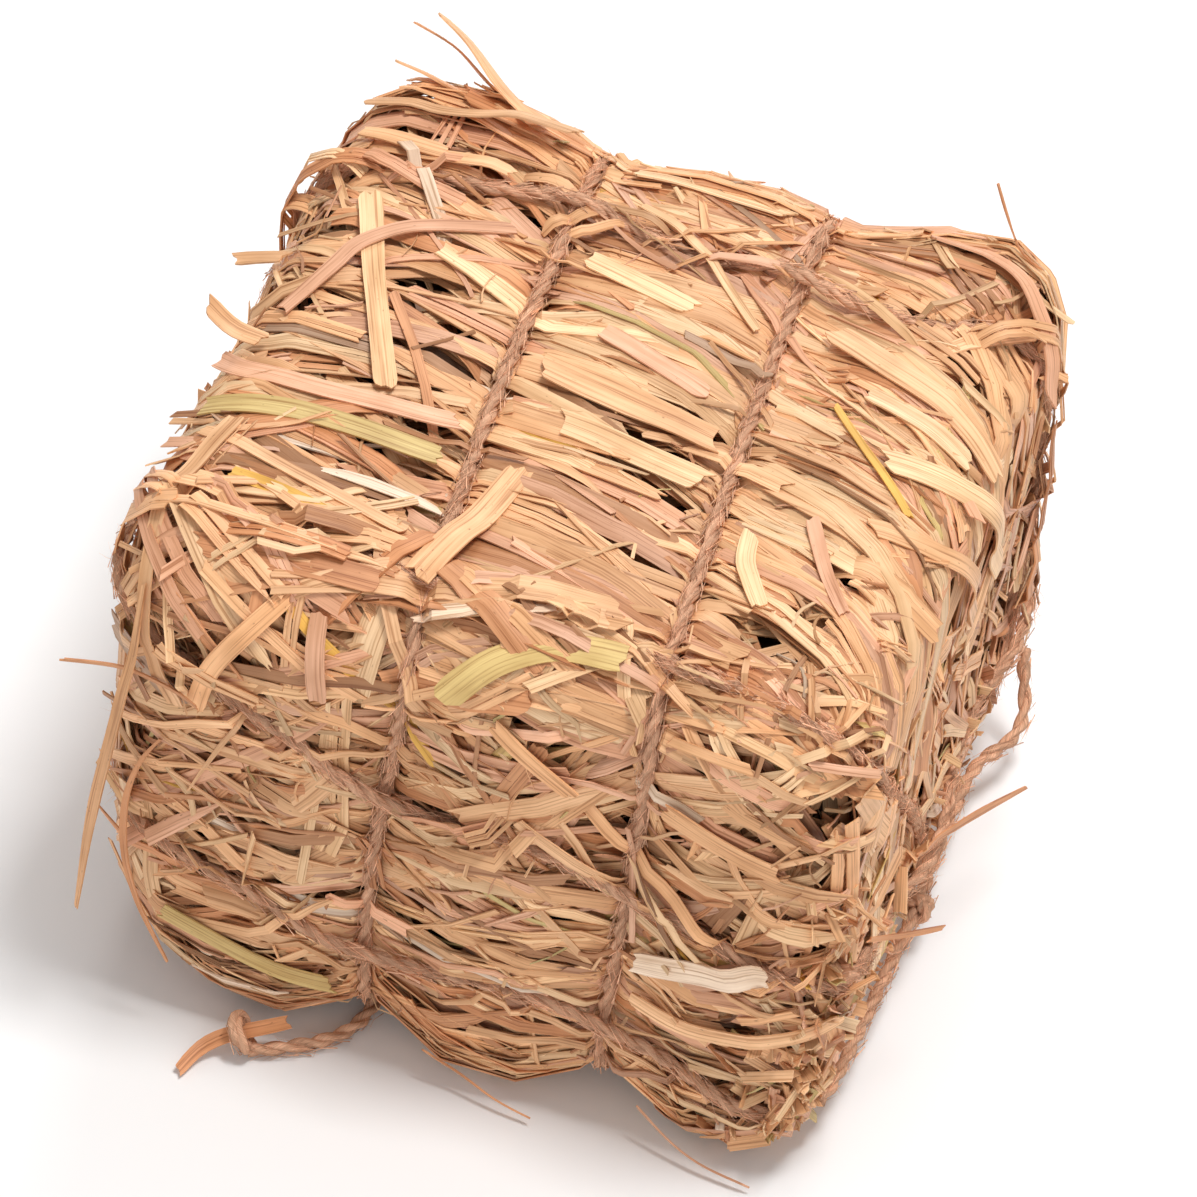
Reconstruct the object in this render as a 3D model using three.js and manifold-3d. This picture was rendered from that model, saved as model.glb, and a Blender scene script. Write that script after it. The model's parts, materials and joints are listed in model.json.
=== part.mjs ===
// A small hand-tied block of dried straw. It lies on its flat underside.
// Millimetres, +Z up. X runs along most of the straws, Y runs away from the front face,
// and the origin is the middle of the face that it rests on.
import * as THREE from 'three';
import * as BufferGeometryUtils from 'three/addons/utils/BufferGeometryUtils.js';
import Module from 'manifold-3d';

const wasm = await Module();
wasm.setup();

// Driving dimensions of the packed straw.
const LENGTH = 118;
const DEPTH = 117;
const HEIGHT = 93;
const EDGE_RADIUS = 12;
const END_RADIUS = 11;
const GIRTH_LEFT_X = -14;
const GIRTH_RIGHT_X = 24;
const PINCH = 4.6;
const PINCH_WIDTH = 8.5;
const BACK_BULGE = 1.5;
const BACK_EDGE_RADIUS = 9;
const LOW_FRONT_RADIUS = 9;

// Where the packed straw swells or gives way, each a smooth bump along X.
const LEFT_SWELL = { at: -40, width: 16, size: 4 };
const RIGHT_SWELL = { at: 46, width: 10, size: 3.5 };
const LEFT_END_DENT = { at: -62, width: 8, size: 3 };
const LOW_LEFT_BEND = { at: -63, width: 19, size: 24 };
const FRAYED_RIGHT_END = { at: 62, width: 7, size: 14 };

// How much of the pinch and of the swellings each side of a section takes.
const BACK_SHARE = { pinch: 0.35, left: 0.7, right: 0.5 };
const TOP_SHARE = { pinch: 0.5, left: 0.4, right: 0.3 };
const UNDERSIDE_PINCH = 1.3;
const FLAT_UNDER_PINCH = 0.5;
const CORNER_STEPS = 3;

// Jute twine, its knots, and the flat pieces of straw.
const TWINE = 2.3;
const TWINE_SIDES = 6;
const TWINE_STEP = 11.5;
const GROOVE_SIDES = 4;
const GROOVE_RADIUS = 2.15;
const CORD_SIDES = 8;
const CORD_STEP = 6.5;
const KNOT_RADIUS = 1.9;
const TAIL_KNOT_RADIUS = 2.7;
const KNOT_SIDES = 6;
const KNOT_STEPS = 12;
const STRAW_THICKNESS = 0.5;
const STRAW_STEP = 6;

// Clear space between neighbours, how far a taut twine sinks into the straw, and the
// spacing and reach of the feelers that find what a piece lies on.
const GAP = 0.35;
const SINK = 0.6;
const DEEPEST = 0.8;
const FLOOR_GAP = 0.2;
const FEEL = 1.5;
const REACH = 150;
const CLEARING = 4;
const TWINE_CLEARING = 7;
const TWINE_GAP = 0.55;
const EVENING_PASSES = 6;
const GIRTH_LAY = { spread: 1, sink: -0.4 };
const CROSS_LAY = { spread: 6, sink: SINK };
const LOWER_LAY = { spread: 5, sink: SINK };
const FREE_EARLY = 0.12;
const NEVER_FREE = 2;

// Every point has a foot on this inner block. The line from foot to point is "up" there.
const INNER = new THREE.Box3(
  new THREE.Vector3(-45, -42, 18),
  new THREE.Vector3(45, 42, HEIGHT - 18),
);

const COLOURS = {
  packed: 0xbf8d64,
  twine: 0xa67f62,
  gold: 0xe0b27c,
  pale: 0xf0cfa0,
  orange: 0xcf8a55,
  pink: 0xd9a37c,
  green: 0xb9ab68,
  yellow: 0xdcb24e,
  white: 0xe6d5c2,
  grey: 0xb39a86,
};

const object = new THREE.Group();

function addMesh(name, geometry, colour, roughness) {
  const material = new THREE.MeshStandardMaterial({
    color: colour,
    roughness,
    metalness: 0,
    side: THREE.DoubleSide,
  });
  const mesh = new THREE.Mesh(geometry, material);
  mesh.name = name;
  object.add(mesh);
  mesh.updateMatrixWorld(true);
  return mesh;
}

function points(list) {
  return list.map(([x, y, z]) => new THREE.Vector3(x, y, z));
}

// ---- Joining and cutting ----

function solidOf(geometry) {
  const plain = geometry.clone();
  plain.deleteAttribute('normal');
  plain.deleteAttribute('uv');
  const merged = BufferGeometryUtils.mergeVertices(plain, 1e-4);
  const vertProperties = new Float32Array(merged.attributes.position.array);
  const triVerts = new Uint32Array(merged.index.array);
  return new wasm.Manifold(new wasm.Mesh({ numProp: 3, vertProperties, triVerts }));
}

function geometryOf(solid) {
  const mesh = solid.getMesh();
  const geometry = new THREE.BufferGeometry();
  const position = new THREE.Float32BufferAttribute(mesh.vertProperties, 3);
  geometry.setAttribute('position', position);
  geometry.setIndex(Array.from(mesh.triVerts));
  geometry.computeVertexNormals();
  return geometry;
}

// ---- The packed straw: sections across X, drawn in by the two girth twines ----

// A closed skin over rings of points that all have the same count, with flat ends.
function loft(rings) {
  const count = rings[0].length;
  const positions = rings.flat().flatMap((p) => [p.x, p.y, p.z]);
  const index = [];
  for (let i = 0; i < rings.length - 1; i += 1) {
    const here = i * count;
    const next = here + count;
    for (let j = 0; j < count; j += 1) {
      const k = (j + 1) % count;
      index.push(here + j, next + k, here + k);
      index.push(here + j, next + j, next + k);
    }
  }
  const last = (rings.length - 1) * count;
  for (let j = 1; j < count - 1; j += 1) {
    index.push(0, j, j + 1);
    index.push(last, last + j + 1, last + j);
  }
  const geometry = new THREE.BufferGeometry();
  geometry.setAttribute('position', new THREE.Float32BufferAttribute(positions, 3));
  geometry.setIndex(index);
  geometry.computeVertexNormals();
  return geometry;
}

function bump(x, { at, width, size }) {
  return size * Math.exp(-(((x - at) / width) ** 2));
}

// How far a section is drawn in by the girth twines, and where the ends round off.
function pinchAt(x) {
  const girths = [GIRTH_LEFT_X, GIRTH_RIGHT_X];
  const pinches = girths.map((at) => bump(x, { at, width: PINCH_WIDTH, size: PINCH }));
  return pinches[0] + pinches[1];
}

function endInset(x) {
  const past = Math.max(0, Math.abs(x) - (LENGTH / 2 - END_RADIUS));
  return END_RADIUS - Math.sqrt(END_RADIUS ** 2 - past ** 2);
}

function section(x) {
  const inset = endInset(x);
  const pinch = pinchAt(x);
  const left = bump(x, LEFT_SWELL);
  const right = bump(x, RIGHT_SWELL);
  const swollen = (share) => share.left * left + share.right * right - share.pinch * pinch;
  const front = -DEPTH / 2 + pinch + inset + bump(x, LEFT_END_DENT);
  const back = DEPTH / 2 + BACK_BULGE - inset + swollen(BACK_SHARE);
  const top = HEIGHT - inset + swollen(TOP_SHARE);
  const underside = UNDERSIDE_PINCH * Math.max(0, pinch - FLAT_UNDER_PINCH) + inset;
  const low = underside + bump(x, FRAYED_RIGHT_END);
  const lowFront = LOW_FRONT_RADIUS + bump(x, LOW_LEFT_BEND);
  const corners = [
    { y: front + EDGE_RADIUS, z: top - EDGE_RADIUS, r: EDGE_RADIUS, from: 180 },
    { y: back - BACK_EDGE_RADIUS, z: top - BACK_EDGE_RADIUS, r: BACK_EDGE_RADIUS, from: 90 },
    { y: back - EDGE_RADIUS, z: low + EDGE_RADIUS, r: EDGE_RADIUS, from: 0 },
    { y: front + lowFront, z: low + lowFront, r: lowFront, from: -90 },
  ];
  const ring = [];
  for (const corner of corners) {
    for (let k = 0; k <= CORNER_STEPS; k += 1) {
      const angle = THREE.MathUtils.degToRad(corner.from - (90 * k) / CORNER_STEPS);
      const y = corner.y + corner.r * Math.cos(angle);
      const z = corner.z + corner.r * Math.sin(angle);
      ring.push(new THREE.Vector3(x, y, z));
    }
  }
  return ring;
}

function packedStraw() {
  const half = LENGTH / 2;
  const stations = [-half, -half + 1.5, -half + 5, -half + END_RADIUS, -36, -27, -20];
  stations.push(GIRTH_LEFT_X, -8, -1, 11, 18, GIRTH_RIGHT_X, 30, 38);
  stations.push(half - END_RADIUS, half - 5, half - 1.5, half);
  return loft(stations.map(section));
}

// ---- Laying a piece on what is under it ----

const feeler = new THREE.Raycaster();

function stand(point) {
  const foot = INNER.clampPoint(point, new THREE.Vector3());
  const up = point.clone().sub(foot);
  const height = up.length();
  return { foot, up: up.normalize(), height };
}

// The height of the outermost surface of the given meshes over the foot of a point.
function heightOver(point, meshes) {
  const { foot, up } = stand(point);
  feeler.set(foot.clone().addScaledVector(up, REACH), up.clone().negate());
  const hits = feeler.intersectObjects(meshes, false);
  return hits.length > 0 ? REACH - hits[0].distance : 0;
}

function averaged(values, spread, closed) {
  const count = values.length;
  return values.map((value, i) => {
    let sum = 0;
    for (let k = -spread; k <= spread; k += 1) {
      const at = closed ? (i + k + count) % count : Math.min(count - 1, Math.max(0, i + k));
      sum += values[at];
    }
    return sum / (2 * spread + 1);
  });
}

function widened(values, spread, closed) {
  const count = values.length;
  return values.map((value, i) => {
    let most = value;
    for (let k = -spread; k <= spread; k += 1) {
      const at = closed ? (i + k + count) % count : Math.min(count - 1, Math.max(0, i + k));
      most = Math.max(most, values[at]);
    }
    return most;
  });
}

// A route of points near the surface becomes a route that lies on it. It sinks into the
// soft mesh by sink and passes outside the hard meshes with the given gap. Past the
// fraction freeFrom of its length it leaves the surface and keeps its own height.
function lay(list, settings) {
  const { closed, radius, halfWidth, sink, spread, gap, clearing, soft, hard, freeFrom } = settings;
  const curve = new THREE.CatmullRomCurve3(points(list), closed, 'centripetal');
  const count = Math.max(6, Math.round(curve.getLength() / FEEL));
  const samples = curve.getSpacedPoints(count);
  if (closed) samples.pop();
  const sides = samples.map((point, i) => {
    const ahead = samples[Math.min(samples.length - 1, i + 1)];
    const behind = samples[Math.max(0, i - 1)];
    const along = ahead.clone().sub(behind).normalize();
    return along.cross(stand(point).up).normalize();
  });
  const softHeights = samples.map((point) => heightOver(point, soft));
  const evened = averaged(softHeights, spread, closed);
  const bed = evened.map((h, i) => Math.max(h - sink, softHeights[i] - DEEPEST));
  const across = [-1, -0.5, 0, 0.5, 1];
  const under = samples.map((point, i) => {
    const feet = across.map((a) => point.clone().addScaledVector(sides[i], a * halfWidth));
    const most = Math.max(...feet.map((foot) => heightOver(foot, hard)));
    return most + radius + gap;
  });
  const clear = widened(under, Math.round(clearing / FEEL), closed);
  const isFree = samples.map((point, i) => i / samples.length >= freeFrom);
  let heights = samples.map((point, i) => {
    if (isFree[i]) return stand(point).height;
    return Math.max(bed[i], hard.length > 0 ? clear[i] : 0);
  });
  const last = heights.length - 1;
  for (let pass = 0; pass < EVENING_PASSES; pass += 1) {
    heights = heights.map((h, i) => {
      const before = closed ? heights[(i + last) % (last + 1)] : heights[Math.max(0, i - 1)];
      const after = closed ? heights[(i + 1) % (last + 1)] : heights[Math.min(last, i + 1)];
      return Math.max(h, (before + after) / 2);
    });
  }
  return samples.map((point, i) => {
    const { foot, up } = stand(point);
    const at = foot.addScaledVector(up, heights[i]);
    at.z = Math.max(at.z, radius + FLOOR_GAP);
    return { at, up, side: sides[i] };
  });
}

function everyStep(laid, step) {
  const curve = new THREE.CatmullRomCurve3(laid.map((l) => l.at));
  const spans = Math.max(3, Math.round(curve.getLength() / step));
  const places = [];
  for (let k = 0; k <= spans; k += 1) {
    places.push(laid[Math.round((k * (laid.length - 1)) / spans)]);
  }
  return places;
}

// ---- Twine ----

function ring(route, radius, sides) {
  const steps = Math.round(route.getLength() / TWINE_STEP);
  return new THREE.TubeGeometry(route, steps, radius, sides, true);
}

function polygon(radius, sides) {
  const shape = new THREE.Shape();
  for (let k = 0; k < sides; k += 1) {
    const angle = (2 * Math.PI * k) / sides;
    const x = radius * Math.cos(angle);
    const y = radius * Math.sin(angle);
    if (k === 0) shape.moveTo(x, y);
    else shape.lineTo(x, y);
  }
  shape.closePath();
  return shape;
}

function cord(route, radius, sides, step) {
  const steps = Math.round(route.getLength() / step);
  return new THREE.ExtrudeGeometry(polygon(radius, sides), {
    steps,
    extrudePath: route,
    bevelEnabled: false,
  });
}

const GIRTHS = {
  girth_twine_left: [
    [-17, 40, 93], [-16, 0, 93], [-13, -40, 93], [-12, -58, 82], [-13, -58, 66], [-15, -58, 42],
    [-15, -58, 14], [-15, -42, 0], [-14, 0, 0], [-15, 42, 0], [-16, 60, 14], [-17, 60, 80],
  ],
  girth_twine_right: [
    [20, 40, 93], [22, 0, 93], [25, -40, 93], [26, -58, 80], [25, -58, 52],
    [23, -58, 14], [23, -42, 0], [23, 0, 0], [22, 42, 0], [21, 60, 14], [20, 60, 80],
  ],
};

const CROSS_TWINES = {
  long_twine_back: [
    [-50, 37, 93], [-37, 37, 93], [-17, 40, 93], [0, 37.5, 93], [20, 37, 93], [34, 34, 93],
    [52, 39, 91], [59, 44, 74], [59, 46, 50], [59, 43, 30], [55, 41, 10], [40, 40, 0],
    [0, 38, 0], [-40, 36, 0], [-57, 35, 12], [-59, 34, 45], [-58, 35, 80],
  ],
  long_twine_front: [
    [-50, -44, 92], [-20, -45, 93], [10, -47, 93], [37, -49, 92], [54, -50, 86],
    [59, -36, 66], [59, -16, 42], [59, -4, 20], [54, -4, 7], [40, -6, 0],
    [0, -12, 0], [-40, -22, 0], [-57, -28, 12], [-59, -34, 45], [-58, -40, 78],
  ],
  upper_twine: [
    [-48, -58, 76], [-40, -58, 71], [-28, -58, 64], [-14, -58, 56], [3, -58, 56], [13, -58, 55],
    [25, -58, 51], [45, -58, 45], [56, -54, 40], [59, -44, 34], [59, -20, 26], [59, 10, 26],
    [59, 40, 30], [56, 57, 34], [30, 60, 42], [-20, 60, 52], [-52, 58, 62],
    [-59, 40, 68], [-59, 0, 74], [-59, -40, 78],
  ],
};

const LOWER_TWINE = [
  [55, -52.5, 10.2], [50, -56, 12], [40, -58, 16], [29, -58, 20], [11, -58, 24], [-4, -58, 23],
  [-19, -58, 23], [-30, -58, 28], [-45, -56, 34], [-57, -50, 38], [-59, -35, 40], [-59, 0, 36],
  [-59, 38, 32], [-55, 56, 28], [-20, 60, 20], [20, 60, 14], [46, 59, 12], [55, 54, 11.5],
  [57.5, 49, 11],
];

// The loose end string: a small slack loop at the back corner, then taut along the low
// edge of the right end, over a knot, to the front corner.
const END_STRING = [
  [60.8, 47, 19], [61.2, 46.6, 15], [62.2, 45, 11.6], [63.2, 41.4, 9.8], [62.8, 37, 9.2],
  [61, 33.4, 9], [59.4, 29.6, 9.1], [58.6, 24, 9.1], [58.5, 16, 8.9], [58.6, 8, 8.6],
  [58.9, 0, 8.4], [58.8, -10, 8.3], [58.5, -20, 8.3], [58.2, -30, 8.4], [57.9, -39, 8.6],
  [57.6, -44.6, 8.9], [56.9, -48.6, 9.3],
];
const END_KNOT_AT = new THREE.Vector3(58.9, -2, 8.4);

// The tail of the left girth twine runs out from under the block along the surface.
const TAIL_STRING = [
  [-14.5, -30, 1.3], [-14.5, -33, 1.3], [-14.5, -36, 1.3], [-14.5, -39, 1.3], [-14.5, -42, 1.3],
  [-14.6, -45, 1.3], [-14.8, -48, 1.3], [-15.2, -50.6, 1.3], [-16, -53, 1.3], [-17.2, -55.1, 1.3],
  [-18.8, -57, 1.3], [-20.5, -58.6, 1.3], [-22.4, -60, 1.4], [-26, -62.4, 1.5],
  [-29.6, -64.2, 1.6],
];
const TAIL_KNOT_AT = new THREE.Vector3(-31, -63, 3.9);
const TIED_STRIP = [
  [-24.6, -60.6, 6.2], [-27.4, -61.6, 5.1], [-31, -63, 3.9], [-34, -64.4, 2.9],
  [-36.6, -67, 1.8], [-38.4, -71.6, 0.8],
];
const TIED_STRIP_WIDTH = 2.4;
const TIED_STRIP_ALONG = new THREE.Vector3(-0.82, -0.36, -0.3);
const TIED_STRIP_UP = new THREE.Vector3(0.1, -0.3, 0.95).normalize();
const TIED_STRIP_SIDE = new THREE.Vector3(-0.47, 0.73, 0.28).normalize();

function knot(centre, along, radius, tube) {
  const shape = new THREE.TorusGeometry(radius, tube, KNOT_SIDES, KNOT_STEPS);
  const turn = new THREE.Quaternion();
  turn.setFromUnitVectors(new THREE.Vector3(0, 0, 1), along.clone().normalize());
  shape.applyQuaternion(turn);
  shape.translate(centre.x, centre.y, centre.z);
  return shape;
}

// ---- Pieces of straw that stand out from the rest ----

// Each has a colour, a width, a lying route, and, where it sticks out, a free route.
const STRAWS = {
  upright_pale: ['pale', 3.6, [[-47, 29, 93], [-42, 15, 93], [-37, 3, 93], [-31, -11, 93]]],
  forked_left: [
    'pink', 2.6,
    [[-51, 0, 93], [-47, 10, 93], [-44, 18, 93], [-36, 25, 93], [-24, 30, 93]],
  ],
  fan_spike: ['gold', 2.4, [[-38, 52, 92], [-41, 54, 92]], [[-46, 57, 95], [-53, 58, 96]]],
  fan_splinter: ['orange', 1.8, [[-34, 56, 88]], [[-38, 60, 94], [-44, 61, 99], [-51, 62, 101]]],
  fan_wide: [
    'gold', 4.6,
    [[-27, 50, 93], [-30, 53, 92]],
    [[-36, 57, 98], [-42, 60, 102], [-47, 61, 105]],
  ],
  back_strip_left: ['gold', 2.8, [[-53, 49, 90], [-44, 49, 93], [-33, 48.5, 93], [-21, 48, 91]]],
  back_strip_middle: ['pale', 3, [[-11, 50, 91], [0, 50, 92], [14, 49, 92]]],
  back_strip_low: ['gold', 2.8, [[-53, 43.5, 92], [-46, 42, 93], [-39, 41.5, 93]]],
  left_long_low: [
    'pink', 3.4,
    [[-56, -10, 88], [-52, -14, 92], [-43, -15, 93], [-30, -14.5, 93], [-19, -13, 92]],
  ],
  stub_left_high: ['gold', 3, [[-55, 14, 90]], [[-60, 15, 88], [-64, 15, 87]]],
  stub_left_middle: ['gold', 3, [[-51, -8, 93]], [[-57, -7.5, 95], [-61, -7, 98]]],
  green_left: [
    'green', 4,
    [[-55, -22, 90], [-50, -22, 92], [-41, -21, 93], [-29, -21, 93], [-19, -21, 92]],
  ],
  bridge_left: ['gold', 2.2, [[-53, -28, 90], [-47, -30.5, 93], [-33, -35, 93], [-19, -38, 92]]],
  edge_curve_left: [
    'gold', 2.6,
    [[-49, -26, 93], [-52, -40, 91], [-52, -53, 86], [-50, -58, 76], [-46, -58, 66]],
  ],
  yellow_left: ['yellow', 2.8, [[-46, -37.5, 93], [-38, -38.5, 93], [-27, -41, 93]]],
  wide_front_left: ['orange', 4, [[-46, -50, 90], [-39, -50, 91], [-28, -49, 91], [-19, -48, 90]]],
  arc_front_left: ['gold', 3, [[-31, -53, 89], [-37, -58, 83], [-41, -58, 76], [-43, -58, 67]]],
  upright_front_left: ['pink', 2.8, [[-26, -54, 88], [-25, -57, 82], [-24, -58, 76]]],
  slab_front_left: ['gold', 4.6, [[-34, -58, 80], [-30, -58, 75], [-25, -58, 70]]],
  upright_grey: ['grey', 3.4, [[-34, -58, 60], [-33.5, -58, 53], [-33, -58, 49]]],
  cut_diagonal: ['gold', 4.6, [[-7, -18, 93], [-9.5, -30, 93], [-14, -46, 92]]],
  broad_pale: ['pale', 5, [[-10, -5, 92], [-2, -7, 93], [9, -9, 93], [19, -10.5, 92]]],
  broad_middle: ['gold', 5.6, [[-11, 5, 92], [-1, 2.5, 93], [12, 0, 93], [18.5, -1.5, 92]]],
  fold_over: ['pink', 3.4, [[-5, 15, 93], [4, 11.5, 93], [14, 7.5, 93]]],
  thin_over_top: ['pale', 1.6, [[-8, 44, 92], [0, 40, 93], [10, 31, 93], [17, 24, 92]]],
  broad_top: ['pale', 3.8, [[-12, 30, 92], [-3, 27, 93], [6, 24.5, 93]]],
  bent_short: ['pale', 2.8, [[29, -18, 92], [30, -24, 92], [35, -33, 93]]],
  splint_right: ['pink', 2.2, [[37, -13, 93], [42, -23, 93], [47, -31, 92]]],
  broad_right_fold: ['gold', 4.6, [[28, 28, 92], [36, 24, 93], [50, 17, 92], [57, 12, 86]]],
  torn_right: ['pale', 3.5, [[37, 16, 93], [44, 13.5, 93], [54, 9.5, 90]]],
  yellow_thin: ['yellow', 1.2, [[33, 12, 93], [41, 3, 93], [50, -7, 93]]],
  wrap_back_right: ['pink', 3.4, [[36, 52, 91], [46, 50, 92], [54, 44, 89], [58, 36, 82]]],
  wrap_right: ['pale', 4.6, [[44, 2, 93], [52, 3, 92], [58, 7, 84], [59, 14, 72], [59, 22, 60]]],
  wrap_right_low: ['gold', 3.4, [[46, -12, 93], [55, -10, 90], [59, -2, 78], [59, 8, 62]]],
  arch_front: ['green', 4.6, [[-5, -56, 82], [2, -53, 88], [10, -50, 90], [19, -49, 90]]],
  long_diagonal_front: ['gold', 2.6, [[3, -58, 80], [12, -58, 73], [20, -58, 66]]],
  slope_right: ['gold', 3.4, [[30, -58, 72], [38, -58, 69], [48, -57, 66]]],
  white_front: ['white', 4.6, [[28, -58, 38], [38, -58, 41], [48, -57, 45]]],
  olive_low_left: ['green', 3.6, [[-46, -56, 21], [-37, -57, 18], [-28, -58, 15.5], [-19, -57, 15]]],
  fold_low_left: ['gold', 2.8, [[-30, -58, 40], [-31, -58, 34]]],
  low_sweep_right: ['gold', 2.8, [[28, -57, 30], [38, -58, 28], [48, -57, 30], [57, -51, 33]]],
  stray_left_orange: [
    'orange', 1.7,
    [[-42, -58, 70], [-47, -58, 71]],
    [[-55, -60, 72], [-63, -63, 73]],
  ],
  stray_left_long: [
    'gold', 2,
    [[-51, -53, 84]],
    [[-52.5, -61, 77], [-54.4, -64.5, 61], [-56.8, -64.5, 43], [-58.6, -64, 22]],
  ],
  stray_left_curve: [
    'orange', 1.2,
    [[-48, -58, 58]],
    [[-51.6, -59.8, 51], [-52.8, -61, 40], [-50.6, -62, 28], [-44, -62.5, 14]],
  ],
  stray_right: ['orange', 1.8, [[59.5, -14, 31]], [[65, 1, 27], [70, 16, 21]]],
  stray_back_right: ['orange', 1.4, [[51, 51, 88]], [[48, 56, 96], [44.5, 57, 105]]],
  stray_bottom_left: ['orange', 1.6, [[-3, -57, 8]], [[5, -60, 3.5], [15, -61.5, 1.4]]],
  stray_bottom_right: ['pink', 2, [[31, -58, 8]], [[39, -61, 3], [50, -62.5, 1.4]]],
  stray_corner_low: ['orange', 2.2, [[59, -42, 40]], [[63, -36, 36], [68, -26, 30]]],
};

// A flat strip over a laid route, with a rectangular section.
function strip(places, width) {
  const rings = places.map(({ at, up, side }) => {
    const corner = (a, b) => at.clone()
      .addScaledVector(side, (a * width) / 2)
      .addScaledVector(up, (b * STRAW_THICKNESS) / 2);
    return [corner(-1, -1), corner(1, -1), corner(1, 1), corner(-1, 1)];
  });
  return loft(rings);
}

function straw([colour, width, lying, free = []], name, under, softs) {
  const lyingPart = lying.length / (lying.length + free.length);
  const freeFrom = free.length > 0 ? lyingPart - FREE_EARLY : NEVER_FREE;
  const laid = lay([...lying, ...free], {
    closed: false,
    radius: STRAW_THICKNESS / 2,
    halfWidth: width / 2,
    sink: -GAP,
    spread: 0,
    gap: GAP,
    clearing: CLEARING,
    soft: softs,
    hard: under,
    freeFrom,
  });
  const places = everyStep(laid, Math.max(STRAW_STEP, 1.25 * width));
  return addMesh(name, strip(places, width), COLOURS[colour], 0.65);
}

// ---- The whole bundle ----

const radius = TWINE / 2;
const uncutMaterial = new THREE.MeshStandardMaterial({ side: THREE.DoubleSide });
const uncut = new THREE.Mesh(packedStraw(), uncutMaterial);
uncut.updateMatrixWorld(true);

const twines = [];
const grooves = [];

function layTwine(name, list, closed, { spread, sink }) {
  const laid = lay(list, {
    closed,
    radius,
    halfWidth: radius,
    sink,
    spread,
    gap: TWINE_GAP,
    clearing: TWINE_CLEARING,
    soft: [uncut],
    hard: twines,
    freeFrom: NEVER_FREE,
  });
  const route = new THREE.CatmullRomCurve3(laid.map((l) => l.at), closed, 'centripetal');
  const make = closed ? ring : (path, r, sides) => cord(path, r, sides, TWINE_STEP);
  grooves.push(solidOf(make(route, GROOVE_RADIUS, GROOVE_SIDES)));
  twines.push(addMesh(name, make(route, radius, TWINE_SIDES), COLOURS.twine, 0.95));
}

for (const [name, list] of Object.entries(GIRTHS)) layTwine(name, list, true, GIRTH_LAY);
for (const [name, list] of Object.entries(CROSS_TWINES)) layTwine(name, list, true, CROSS_LAY);
layTwine('lower_twine', LOWER_TWINE, false, LOWER_LAY);

const endRoute = new THREE.CatmullRomCurve3(points(END_STRING), false, 'centripetal');
const endKnot = knot(END_KNOT_AT, new THREE.Vector3(0, 1, 0), KNOT_RADIUS, radius);
const endString = solidOf(cord(endRoute, radius, CORD_SIDES, CORD_STEP)).add(solidOf(endKnot));
twines.push(addMesh('end_string', geometryOf(endString), COLOURS.twine, 0.95));

const tailRoute = new THREE.CatmullRomCurve3(points(TAIL_STRING), false, 'centripetal');
const tailKnot = knot(TAIL_KNOT_AT, TIED_STRIP_ALONG, TAIL_KNOT_RADIUS, radius);
const tailString = solidOf(cord(tailRoute, radius, CORD_SIDES, CORD_STEP)).add(solidOf(tailKnot));
addMesh('tail_string', geometryOf(tailString), COLOURS.twine, 0.95);

const cut = grooves.reduce((solid, groove) => solid.subtract(groove), solidOf(uncut.geometry));
const packed = addMesh('packed_straw', geometryOf(cut), COLOURS.packed, 0.9);

const stripPlaces = points(TIED_STRIP);
const stripRoute = stripPlaces.map((at) => ({ at, up: TIED_STRIP_UP, side: TIED_STRIP_SIDE }));
addMesh('tied_strip', strip(stripRoute, TIED_STRIP_WIDTH), COLOURS.orange, 0.65);

const under = [uncut, packed, ...twines];
for (const [name, piece] of Object.entries(STRAWS)) {
  under.push(straw(piece, name, under, [uncut]));
}

export default object;
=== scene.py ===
"""A small hand-tied block of dried straw. Lengths in here are millimetres unless a name says metres."""
import json
import math
import random

import bpy
import numpy as np
from mathutils import Matrix, Quaternion, Vector
from mathutils.bvhtree import BVHTree


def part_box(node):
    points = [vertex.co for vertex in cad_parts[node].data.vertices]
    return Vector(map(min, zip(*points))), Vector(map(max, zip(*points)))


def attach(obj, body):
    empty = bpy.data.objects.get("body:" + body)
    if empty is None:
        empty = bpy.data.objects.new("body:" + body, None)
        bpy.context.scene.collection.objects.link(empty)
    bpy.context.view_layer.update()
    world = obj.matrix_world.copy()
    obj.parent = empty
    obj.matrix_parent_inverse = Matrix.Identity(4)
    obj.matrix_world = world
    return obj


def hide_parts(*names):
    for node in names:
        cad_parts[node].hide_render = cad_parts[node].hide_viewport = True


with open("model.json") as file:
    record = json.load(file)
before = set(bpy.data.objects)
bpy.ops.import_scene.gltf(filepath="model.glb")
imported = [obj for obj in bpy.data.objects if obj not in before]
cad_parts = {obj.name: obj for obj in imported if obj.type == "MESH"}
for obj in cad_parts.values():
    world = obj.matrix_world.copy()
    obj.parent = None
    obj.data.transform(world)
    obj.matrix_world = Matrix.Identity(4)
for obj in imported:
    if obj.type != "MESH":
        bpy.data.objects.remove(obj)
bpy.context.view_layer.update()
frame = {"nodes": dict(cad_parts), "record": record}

MM = 0.001
UP = Vector((0, 0, 1))
draw = random.Random(7)
between = draw.uniform

# ---- Camera and free cords ----

# Degrees and millimetres. The camera looks at the block's middle, moved by aside, above and lower.
CAMERA = {
    "azimuth": 13.76, "elevation": 44.79, "roll": 5.9, "distance": 1500,
    "aside": 2.67, "above": 3.27, "lower": 0.7, "lens": 292.7, "sensor": 36,
}
FAR_CLIP = 20  # metres


def put(name, data, matrix=None):
    """A new object in the scene."""
    thing = bpy.data.objects.new(name, data)
    if matrix is not None:
        thing.matrix_world = matrix
    bpy.context.scene.collection.objects.link(thing)
    return thing


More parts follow.
